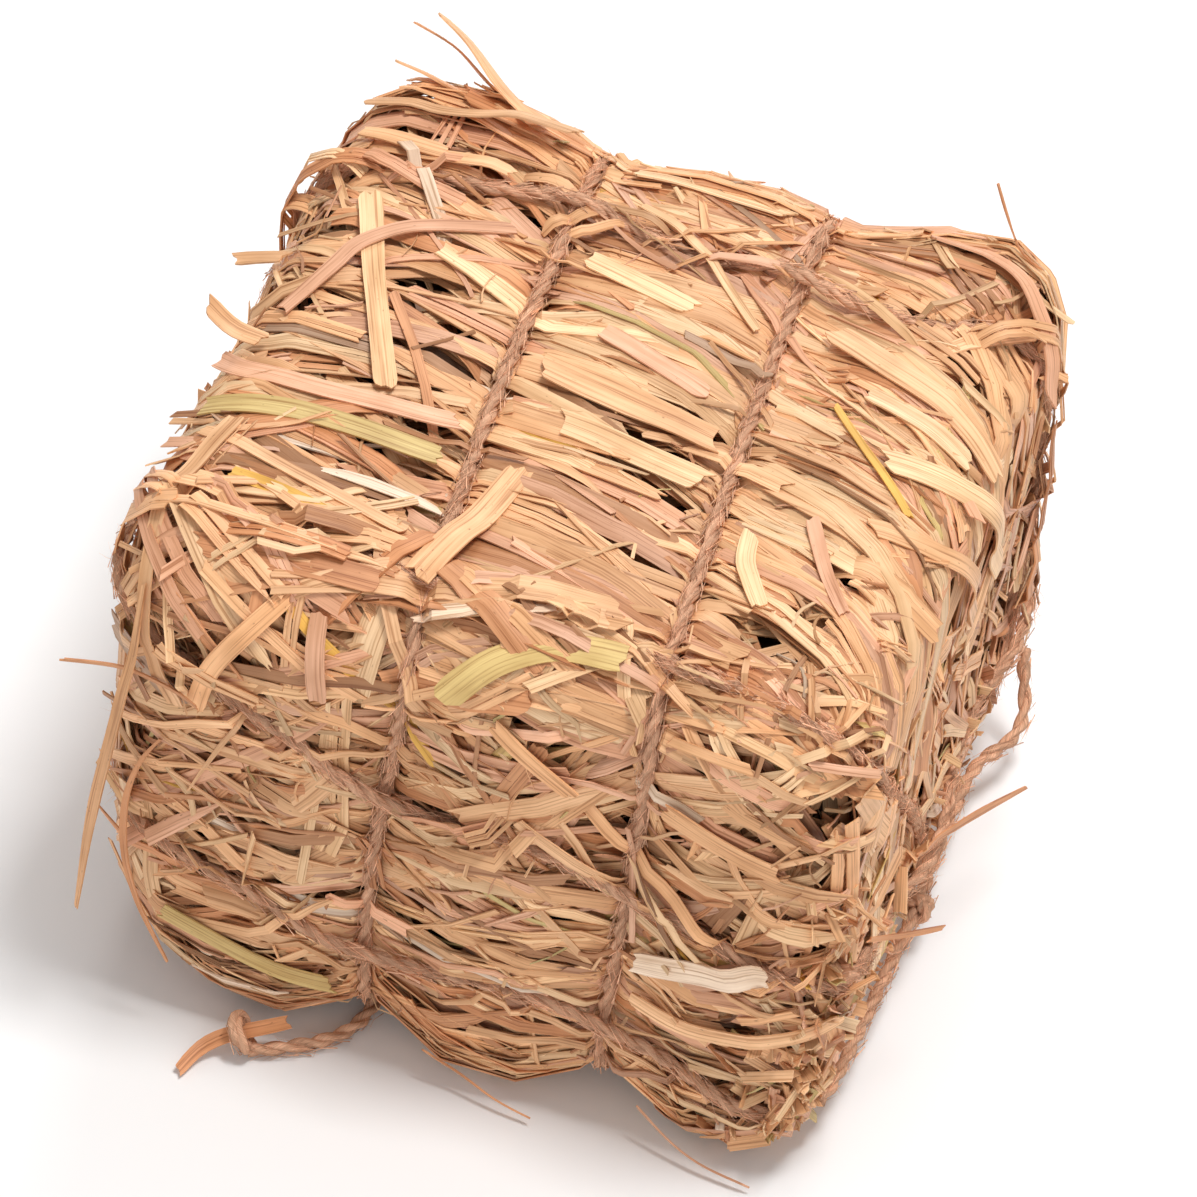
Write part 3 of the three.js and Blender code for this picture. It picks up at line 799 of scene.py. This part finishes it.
def hairs(piece, line, closed, per_mm, longest, lying_per_mm=1.6):
    """Loose fibres on a twine: some stand off it, and some lie along it."""
    headings, sides, ups = framed(line, closed)
    spacing = np.linalg.norm(line[1] - line[0])
    length = len(line) * spacing
    share = np.linspace(0, 1, 3)[:, None]
    for i in some_places(line, round(length * per_mm)):
        angle = draw.gauss(0, 1)
        out = math.cos(angle) * ups[i] + math.sin(angle) * sides[i]
        along = headings[i] * draw.choice((-1, 1))
        side = np.cross(along, out)
        lean = between(0.4, 1.5)
        reach = longest * between(0.2, 1) ** 2
        bend = draw.gauss(0, 0.7)
        path = (
            line[i] + out * between(0.6, 1.0)
            + (out * math.cos(lean) + along * math.sin(lean)) * share * reach
            + side * bend * share ** 2 * reach * 0.6 - out * share ** 2 * reach * 0.2
        )
        fibre(piece, path, out, side, between(0.04, 0.07))
    for i in some_places(line, round(length * lying_per_mm)):
        chosen = [i + k * LYING_STRIDE for k in range(LYING_PLACES)]
        chosen = [c % len(line) if closed else min(c, len(line) - 1) for c in chosen]
        if not closed and chosen[-1] == chosen[-2]:
            continue
        angle = between(-1.9, 1.9) + np.linspace(0, between(-1.2, 2.4), LYING_PLACES)
        bowed = np.linspace(-1, 1, LYING_PLACES) ** 2
        away = between(1.05, 1.35) + between(0, 0.7) * bowed
        out = np.cos(angle)[:, None] * ups[chosen] + np.sin(angle)[:, None] * sides[chosen]
        path = line[chosen] + out * away[:, None]
        fibre(piece, path, out[0], np.cross(headings[i], out[0]), between(0.06, 0.12))


def lift_of(point):
    """How high a point is over the block's own surface."""
    foot, _, height = ground(Vector(point))
    return (Vector(point) - foot).length - height


def press(line):
    """Twine holds the straw down beneath and beside it."""
    _, sides, _ = framed(line, True)
    heights = np.array([lift_of(p) for p in line])
    for reach in np.arange(-PRESS_REACH, PRESS_REACH + 0.1, PRESS_STEP):
        roof = heights - PRESS_DEPTH + PRESS_RISE * reach ** 2
        np.minimum.at(ceiling, cells_at(line + sides * reach), roof)


def cover(line):
    """Marks twine in the pile, so that later straws pass over it."""
    _, sides, _ = framed(line, True)
    heights = np.array([lift_of(p) for p in line])
    for reach in np.linspace(-COVER_REACH, COVER_REACH, 5):
        cells = cells_at(line + sides * reach)
        np.maximum.at(pile, cells, heights + math.sqrt(COVER_RADIUS ** 2 - reach ** 2))


HELD = {
    # twine: whether it is a closed loop
    "girth_twine_left": True, "girth_twine_right": True, "long_twine_back": True,
    "long_twine_front": True, "upper_twine": True, "lower_twine": False,
}
lines = {}
for node, closed in HELD.items():
    lines[node] = curve(twine_line(node, closed), TWINE_STEP, closed)[0]
    press(lines[node])

# ---- The core, in near-black painted shade ----


def add_core():
    """The block, sunk as deep as the deepest straws, in the near-black painted shade material."""
    places = []
    for vertex in BODY.vertices:
        place = vertex.co / MM
        _, above = stand(place)
        places.append((place + above * BURIED) * MM)
    mesh = bpy.data.meshes.new("shaded_core")
    mesh.from_pydata(places, [], [tuple(p.vertices) for p in BODY.polygons])
    mesh.materials.append(CORE)
    piece = put("shaded_core", mesh)
    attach(piece, "root")
    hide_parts("packed_straw")


add_core()

# ---- Where straws lie on each face of the block ----

FACES = {
    # name: (corner, one edge, other edge) of the face's middle part
    "top": ((-58, -57, 93), (116, 0, 0), (0, 114, 0)),
    "front": ((-58, -58, 2), (116, 0, 0), (0, 0, 90)),
    "back": ((-58, 60, 2), (116, 0, 0), (0, 0, 90)),
    "left_end": ((-59, -57, 2), (0, 114, 0), (0, 0, 90)),
    "right_end": ((59, -57, 2), (0, 114, 0), (0, 0, 90)),
    "underside": ((-56, -55, 0), (112, 0, 0), (0, 110, 0)),
}
FACES = {face: [Vector(v) for v in vectors] for face, vectors in FACES.items()}
GIRTHS = (-14, 24)
# Directions, in degrees. On the top they go by band: left of, between and right of the girths.
TOP_LEANS, TOP_SPREADS = (-5, -12, -22), (24, 6, 12)
TOP_FRONT_FROM, TOP_FRONT_MORE = -38, 8  # the top's front strip is less tidy
LEANS = {"right_end": 25}
SPREADS = {"back": 20, "underside": 14, "left_end": 34, "right_end": 34}
FRONT_HIGH_FROM, FRONT_HIGH_SPREAD, FRONT_LOW_SPREAD = 36, 34, 11
DEEP_SPREAD = 22


def band(x, shifts=(0, 0)):
    return sum(x >= girth + shift for girth, shift in zip(GIRTHS, shifts))


def way_along(face, degrees):
    """The direction at an angle in the face's own plane."""
    cos, sin = math.cos(math.radians(degrees)), math.sin(math.radians(degrees))
    if face in ("top", "underside"):
        return Vector((cos, sin, 0))
    if face in ("front", "back"):
        return Vector((cos, 0, sin))
    return Vector((0, sin, -cos))


def heading_on(face, place, spread):
    """The way that straws run there, as a vector near the surface."""
    turned = draw.gauss(0, spread)
    lean = TOP_LEANS[band(place.x)] if face == "top" else LEANS.get(face, 0)
    return way_along(face, lean + turned) * draw.choice((-1, 1))


def spread_on(face, place, depth):
    """How much directions vary, in degrees. Deeper straws lie more at random."""
    if face == "top":
        base = TOP_SPREADS[band(place.x, (-4, 3))]
        if place.y < TOP_FRONT_FROM:
            base += TOP_FRONT_MORE
    elif face == "front":
        base = FRONT_HIGH_SPREAD if place.z > FRONT_HIGH_FROM else FRONT_LOW_SPREAD
    else:
        base = SPREADS[face]
    return base + DEEP_SPREAD * depth


def place_on(face):
    corner, one, other = FACES[face]
    return corner + one * draw.random() + other * draw.random()


def some_width(wide):
    """A width: wide is the chance of a wide one, and about half of the rest are thin."""
    kind = draw.random()
    if kind < wide:
        return between(2.7, 5.2)
    if kind < wide + 0.45:
        return between(1.3, 2.7)
    return between(0.6, 1.3)


SEEN_HOLLOWS = [
    # (place, radius): the dark hollows near the right front corner
    ((55.7, -55, 77), 4.5), ((53, -57, 67), 2.5), ((45.4, -58, 31), 3), ((49, -58, 14), 3.5),
    ((56.5, -54, 37), 3.5), ((59, -40, 52), 3), ((59, -26, 30), 3.5), ((56, -55, 20), 4),
]
HOLLOWS_PER_FACE = 26
SLITS_ON_TOP = 30
SLIT_STEP = 1.6


def hollow_spots():
    """Small hollows where no outer straw lies, as (place, radius)."""
    spots = list(SEEN_HOLLOWS)
    for face in FACES:
        for _ in range(HOLLOWS_PER_FACE):
            spots.append((place_on(face), between(1.1, 2.8)))
    for _ in range(SLITS_ON_TOP):
        place = place_on("top")
        heading = way_along("top", draw.gauss(-13, 8))
        for k in range(draw.randrange(3, 7)):
            shift = heading * (SLIT_STEP * k)
            spots.append((place + shift, between(0.7, 1.1)))
    return [(Vector(place), radius) for place, radius in spots]


HOLLOWS = hollow_spots()


def in_hollow(place):
    return any((place - spot).length_squared < radius ** 2 for spot, radius in HOLLOWS)


def fill(piece, face, count, level, depth, wide, lengths, shade, limit=None, **more):
    """Straws all over a face, in that face's directions."""
    for _ in range(count):
        start = place_on(face)
        width = some_width(wide)
        length = between(*lengths) * (1 if width > THIN else 0.7)
        heading = heading_on(face, start, spread_on(face, start, depth))
        start = start - heading * (length / 2)
        roof = UNDERSIDE_CEILING if face == "underside" and limit is None else limit
        lay_straw(
            piece, start, heading, length, width, level, shade=shade * between(0.88, 1.08),
            limit=roof, **more,
        )


def sweep(face, count, xs, others, fixed, lean, spread, lengths, widths, level, way, turn):
    """Long straws side by side, close to one direction. They start somewhere in xs along X. On the
    top, others is along Y and fixed is Z; on the front it is the other way round."""
    for _ in range(count):
        heading = way_along(face, draw.gauss(lean, spread)) * way
        x, other = between(*xs), between(*others)
        start = Vector((x, other, fixed) if face == "top" else (x, fixed, other))
        lay_straw(
            outer[face], start, heading, between(*lengths), between(*widths), level,
            turn=turn + draw.gauss(0, 0.002), stop=in_hollow, tucked=0.7, shade=between(0.82, 1.04),
            kinks=[(between(0.2, 0.8), draw.gauss(0, 0.15))],
        )


def edge_straws(piece, count):
    """Straws that run out over an edge of a face and stick out past it, fewer of them downwards."""
    for _ in range(count):
        face = draw.choice(("top", "front", "back", "left_end", "right_end", "top", "front"))
        corner, one, other = FACES[face]
        first, second = (one, other) if draw.random() < 0.5 else (other, one)
        inward = between(8, 22)
        away = draw.choice((-1, 1))
        if first.z > 0 and away < 0 and draw.random() < 0.6:
            continue
        share = inward / first.length
        place = corner + first * (share if away < 0 else 1 - share) + second * draw.random()
        heading = Quaternion(first.cross(second).normalized(), draw.gauss(0, 0.45)) @ first.normalized()
        out = between(1, 5.5)
        lay_straw(
            piece, place, heading * away, inward + out, some_width(0.12), -0.6,
            leave=out + 3, tucked=0.8, kinks=[], stop=in_hollow,
        )


def back_edge(piece, count):
    """Straws that lie loosely along the back edge of the top, a little higher than the rest."""
    for _ in range(count):
        start = Vector((between(-56, 44), between(51, 58), between(86, 93)))
        heading = Quaternion(UP, draw.gauss(-0.05, 0.16)) @ Vector((1, 0, draw.gauss(0, 0.04)))
        lay_straw(
            piece, start, heading.normalized(), between(14, 44), some_width(0.3), 0.2,
            limit=between(0.8, 2.4), tucked=0.6, bridging=5,
        )


STUB_PLACES = (0, 0.33, 0.66, 1)
STUB_LEAN = 0.9
STUB_OUT = 1.2  # how far a stub's tip is over the surface


def stubs(piece, centre, around, count):
    """Cut ends of straws that point out of the block near a place."""
    centre = Vector(centre)
    for _ in range(count):
        spot = centre + Vector(between(-a, a) for a in around)
        foot, above, height = ground(spot)
        one = above.orthogonal().normalized()
        one = Quaternion(above, between(0, 6.3)) @ one
        angle = draw.gauss(0, STUB_LEAN)
        heading = (above * math.cos(angle) + one * math.sin(angle)).normalized()
        side = np.array(heading.cross(Vector((draw.gauss(0, 1) for _ in range(3)))).normalized())
        base = foot + above * height
        length = between(5, 10)
        line = np.array([
            base + heading * (t * length - length + between(0, 0.4) + STUB_OUT)
            for t in STUB_PLACES
        ])
        sides = np.tile(side, (len(line), 1))
        ups = np.tile(np.cross(side, np.array(heading)), (len(line), 1))
        ribbon(
            piece, line, sides, ups, between(0.6, 2.6), some_tone(0.9),
            across=3, crown=0.15, ragged=0.5,
        )


def crumbs(piece, count):
    """Small curled shreds on the surface."""
    for _ in range(count):
        face = draw.choice(("top", "top", "front", "front", "right_end", "left_end", "back"))
        angle = between(0, 2 * math.pi)
        _, one, other = FACES[face]
        heading = math.cos(angle) * one.normalized() + math.sin(angle) * other.normalized()
        lay_straw(
            piece, place_on(face), heading, between(4, 12), between(0.25, 0.6), -1,
            turn=draw.gauss(0, 0.09), tucked=0.2, kinks=[], bridging=2,
        )


# How many straws each face gets, as a share of the counts below.
SIZES = {"top": 1.0, "front": 1.05, "back": 0.85, "left_end": 0.85, "right_end": 0.95, "underside": 0.6}
LAST_SIZES = {**SIZES, "top": 0.55}

DEEP_FILLS = (
    # (how many, level, depth, wide, lengths, shade, limit, stop), the deepest first; the lower shade of
    # the deeper layers darkens their colour as painted shade
    (120, -7, 1, 0.2, (16, 45), 0.35, -5.2, None),
    (210, -5, 0.7, 0.2, (18, 50), 0.6, -3.4, None),
    (200, -3.2, 0.45, 0.2, (18, 50), 0.8, -1.9, in_hollow),
)
for face, size in SIZES.items():
    deep = Piece("inner_straw_" + face)
    for count, *rest, limit, stop in DEEP_FILLS:
        fill(deep, face, round(count * size), *rest, limit=limit, stop=stop)
    deep.build(STRAW, "straw")

outer = {face: Piece("outer_straw_" + face) for face in FACES}
SWEEPS = (
    # (face, how many, along X, others, fixed, lean, spread, lengths, widths, level, way, turn)
    ("top", 75, (-20, -14), (-56, 58), 93, -12, 5, (44, 62), (2.2, 5), -1.0, 1, 0),
    ("top", 95, (18, 28), (-50, 58), 93, -14, 6, (40, 80), (1.6, 4.4), -1.0, 1, -0.007),
    ("top", 70, (-22, -10), (-56, 58), 93, -4, 15, (34, 75), (1.3, 4), -1.0, -1, 0),
    ("top", 50, (-30, -8), (44, 60), 92, -3, 4, (30, 60), (2, 4.4), -0.8, 1, 0),
    ("front", 60, (-58, 40), (36, 90), -58, 0, 30, (24, 60), (1.1, 3), -1.0, 1, 0),
    ("front", 110, (-58, 45), (2, 38), -58, -4, 8, (28, 60), (0.9, 2.6), -1.0, 1, 0),
)
LAST_SWEEPS = (
    ("top", 24, (-22, -17), (-50, 56), 93, -13, 3, (46, 60), (3.2, 5.4), -0.7, 1, 0),
    ("top", 28, (12, 26), (-44, 58), 93, -20, 4, (44, 84), (2.6, 5), -0.7, 1, -0.006),
)
for face, size in SIZES.items():
    fill(outer[face], face, round(260 * size), -1.6, 0.25, 0.12, (20, 60), 0.97, stop=in_hollow)
for values in SWEEPS:
    sweep(*values)
for face, size in LAST_SIZES.items():
    fill(outer[face], face, round(200 * size), -0.7, 0.1, 0.1, (16, 55), 1.03, stop=in_hollow, bridging=6)
for values in LAST_SWEEPS:
    sweep(*values)
edge_straws(outer["top"], 170)
back_edge(outer["back"], 120)
STUBS = (
    # (face, middle of the place, how far to each side, how many)
    ("right_end", (57, -54, 32), (5, 6, 28), 90),
    ("right_end", (52, -57, 16), (8, 3, 14), 60),
    ("right_end", (59, -10, 20), (1, 44, 12), 60),
    ("left_end", (-59, 0, 46), (1, 50, 40), 80),
)
for face, centre, around, count in STUBS:
    stubs(outer[face], centre, around, count)

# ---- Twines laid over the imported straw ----

fibres = {key: Piece("twine_fibres_" + key) for key in ("girths", "others")}
for node, closed in HELD.items():
    line = lines[node]
    piece = Piece(node + "_jute")
    twine(piece, line, closed, len(line) * TWINE_STEP)
    piece.build(JUTE, "twine", node, crisp=False)
    key = "girths" if node.startswith("girth") else "others"
    hairs(fibres[key], line, closed, per_mm=2.2, longest=4, lying_per_mm=2.6)
    cover(line)

# ---- Loose straws and shreds over the twines ----

KEPT_CLEAR = ("cut_diagonal",)
CLEAR_WITHIN = 4.5
CLEAR_LINES = [strip_line(node)[0] for node in KEPT_CLEAR]
SIDE_TWINE_ABOVE = 30  # a twine's places lower than this are left alone


def near_clear(place):
    """Whether a place is close to a named straw that lies on top of all the others."""
    return any((Vector(spot) - place).length < CLEAR_WITHIN for line in CLEAR_LINES for spot in line)


def straws_over(piece, line, count, first, last, widths, lengths, spread):
    """Straws that lie over a twine, close to its own direction, between two places along X."""
    spots = [
        i for i in range(2, len(line) - 2)
        if first < line[i][0] < last and line[i][2] > SIDE_TWINE_ABOVE
    ]
    for _ in range(count):
        i = draw.choice(spots)
        heading = Vector(line[i + 2] - line[i - 2]).normalized()
        if heading.x < 0:
            heading = -heading
        above = stand(Vector(line[i]))[1]
        aside = above.cross(heading) * draw.gauss(0, 2)
        heading = Quaternion(above, draw.gauss(0.1, spread)) @ heading
        length = between(*lengths)
        lay_straw(
            piece, Vector(line[i]) + aside - heading * length / 2, heading, length,
            between(*widths), -0.4, limit=3.2, tucked=0.5, bridging=6,
            turn=draw.gauss(0, 0.006), stop=near_clear,
        )


OVER_TWINES = (
    # (twine, how many, from and to along X, widths, lengths, spread of directions)
    ("long_twine_front", 34, -58, 8, (1.2, 4.6), (20, 46), 0.4),
    ("long_twine_front", 12, 8, 24, (1, 3), (14, 26), 0.4),
    ("long_twine_front", 12, 26, 56, (0.6, 1.4), (8, 20), 0.7),
    ("long_twine_back", 14, -60, -38, (1, 3.4), (18, 34), 0.4),
    ("long_twine_back", 14, 38, 60, (1, 3.4), (16, 34), 0.5),
    ("long_twine_back", 12, -30, 34, (0.7, 2), (14, 30), 0.7),
    ("upper_twine", 22, -50, 52, (0.7, 2.6), (12, 32), 0.7),
)
over = Piece("loose_shreds")
for node, *rest in OVER_TWINES:
    straws_over(over, lines[node], *rest)
for face, count in (("front", 60), ("top", 30), ("left_end", 30), ("back", 20)):
    fill(over, face, count, -0.5, 0.3, 0, (10, 34), 1.0, limit=2.2, tucked=0.3)
crumbs(over, 420)
over.build(STRAW, "straw")

# ---- The named straws, in full detail ----

SUBPARTS = frame["record"]["subparts"]
TONE_OF = {part["node"]: part["material_slot"].replace("straw_", "") for part in SUBPARTS}
straw_nodes = [n for n in frame["nodes"] if TONE_OF.get(n) in TONES and n != "tied_strip"]
MOST_LIFT = 3
IN_THE_AIR = 3  # places higher than this are not lifted, and nothing comes to lie on them
END_TIP = (0.85, 1.5)
STRAY_ENDS = (0.4, 18), (0.3, 24)


def raised(line, width):
    """Lifts a line where the pile reaches higher, so that the straw lies on it and not in it."""
    _, sides, ups = framed(line, False)
    offsets = np.array((-0.4, 0, 0.4)) * width
    cells = cells_at(line[:, None] + sides[:, None] * offsets[None, :, None])
    own = np.array([lift_of(p) for p in line])
    under = bridged(smoothed(pile[cells].max(axis=1), 1), 3) + 0.2
    lift = np.clip(smoothed(np.maximum(own, under), 2) - own, 0, MOST_LIFT)
    lift[own > IN_THE_AIR] = 0
    line = line + ups * smoothed(lift, 2)[:, None]
    tops = (own + lift + 0.3)[:, None] * np.ones((1, 3))
    np.maximum.at(pile, cells, np.where(tops < IN_THE_AIR, tops, BURIED))
    return line


def named_straw(node):
    start, tip = (between(0.8, 1), 1.5), END_TIP
    if node.startswith("stray"):
        start, tip = STRAY_ENDS
    centres, sides, ups, width = strip_line(node)
    smooth = raised(curve(centres, 1.6)[0], width)
    share = np.linspace(0, len(centres) - 1, len(smooth))

    def spread_out(vectors):
        values = np.array(vectors)
        steps = np.arange(len(values))
        return unit(np.stack([np.interp(share, steps, values[:, k]) for k in range(3)], axis=1))

    piece = Piece(node + "_stalk")
    ribbon(
        piece, smooth, spread_out(sides), spread_out(ups), width, varied(TONE_OF[node]), across=5,
        crown=draw.choice((1, -0.7)) * between(0.03, 0.07), ragged=0.3 * width,
        thickness=0.3, start=start, finish=tip, ribs=0.04,
    )
    return piece.build(STRAW, "straw_" + TONE_OF[node], node)


for node in straw_nodes:
    named_straw(node)
strip = named_straw("tied_strip")

for piece in outer.values():
    piece.build(STRAW, "straw")

# ---- Free cords ----


def knot(name, loops, longest):
    """A knot of twine loops, each given as (centre, axis, radius, tilt), with its fibres."""
    piece = Piece(name)
    for centre, along, radius, tilt in loops:
        along = along.normalized()
        one = along.orthogonal().normalized()
        other = along.cross(one)
        loop = [
            centre + radius * (math.cos(a) * one + math.sin(a) * other) + along * tilt * math.sin(a)
            for a in np.linspace(0, 2 * np.pi, 18, endpoint=False)
        ]
        line, length = curve(loop, 0.7, True)
        twine(piece, line, True, length)
        hairs(fibres["others"], line, True, per_mm=1.5, longest=longest)
    return piece.build(JUTE, "twine")


def free_cord(name, node, route):
    exit_point = route[0]
    line, length = curve(route, TWINE_STEP)
    piece = Piece(name)
    twine(piece, line, False, length)
    piece = piece.build(JUTE, "twine", node, crisp=False)
    [c * MM for c in exit_point]
    [p * MM for p in line]
    hairs(fibres["others"], line, False, per_mm=1.2, longest=2.6)


END_LOOPS = (
    (END_KNOT_AT, Vector((0, 1, 0)), 1.7, 0.5),
    (END_KNOT_AT + Vector((0, -1.6, 0)), Vector((0, 1, 0.2)), 1.6, -0.6),
)
end_knot = knot("end_knot", END_LOOPS, 3)
free_cord("end_string_jute", "end_string", END_STRING)
TAIL_LOOPS = ((TAIL_KNOT_AT, Vector((-0.82, -0.36, -0.3)), 2.5, 0.6),)
tail_knot = knot("tail_knot", TAIL_LOOPS, 2.5)
free_cord("tail_string_jute", "tail_string", TAIL_STRING)

for piece in fibres.values():
    piece.build(JUTE, "twine", crisp=False)

# ---- Floor and light, in metres ----

FLOOR_SIZE, FLOOR_DROP = 6, 0.0002
FLOOR_GREY = 0.9
WORLD_STRENGTH = 0.46
SOFTBOXES = {
    # name: (place, size, power in watts)
    "key": ((0.3, 0.0, 1.35), 0.34, 12.2),
    "front": ((0.1, -1.3, 0.45), 0.6, 3),
    "back": ((-0.1, 1.2, 0.9), 0.6, 7),
}


def add_stage():
    bpy.ops.mesh.primitive_plane_add(size=FLOOR_SIZE, location=(0, 0, -FLOOR_DROP))
    floor = bpy.context.object
    floor.name = "floor"
    pale = Shading("pale_floor", roughness=0.9, specular=0.1)
    pale.shader["Base Color"].default_value = (FLOOR_GREY, FLOOR_GREY, FLOOR_GREY, 1)
    floor.data.materials.append(pale.material)


def add_softbox(name, place, size, power):
    data = bpy.data.lights.new(name, "AREA")
    data.size = size
    data.energy = power
    place = Vector(place)
    facing = place.to_track_quat("Z", "Y").to_matrix().to_4x4()
    put(name, data, Matrix.Translation(place) @ facing)


def add_light():
    world = bpy.data.worlds.new("studio")
    world.use_nodes = True
    background = world.node_tree.nodes["Background"]
    background.inputs["Color"].default_value = (1, 1, 1, 1)
    background.inputs["Strength"].default_value = WORLD_STRENGTH
    bpy.context.scene.world = world
    for name, (place, size, power) in SOFTBOXES.items():
        add_softbox(name, place, size, power)
    bpy.context.scene.view_settings.view_transform = "Standard"


add_stage()
add_light()
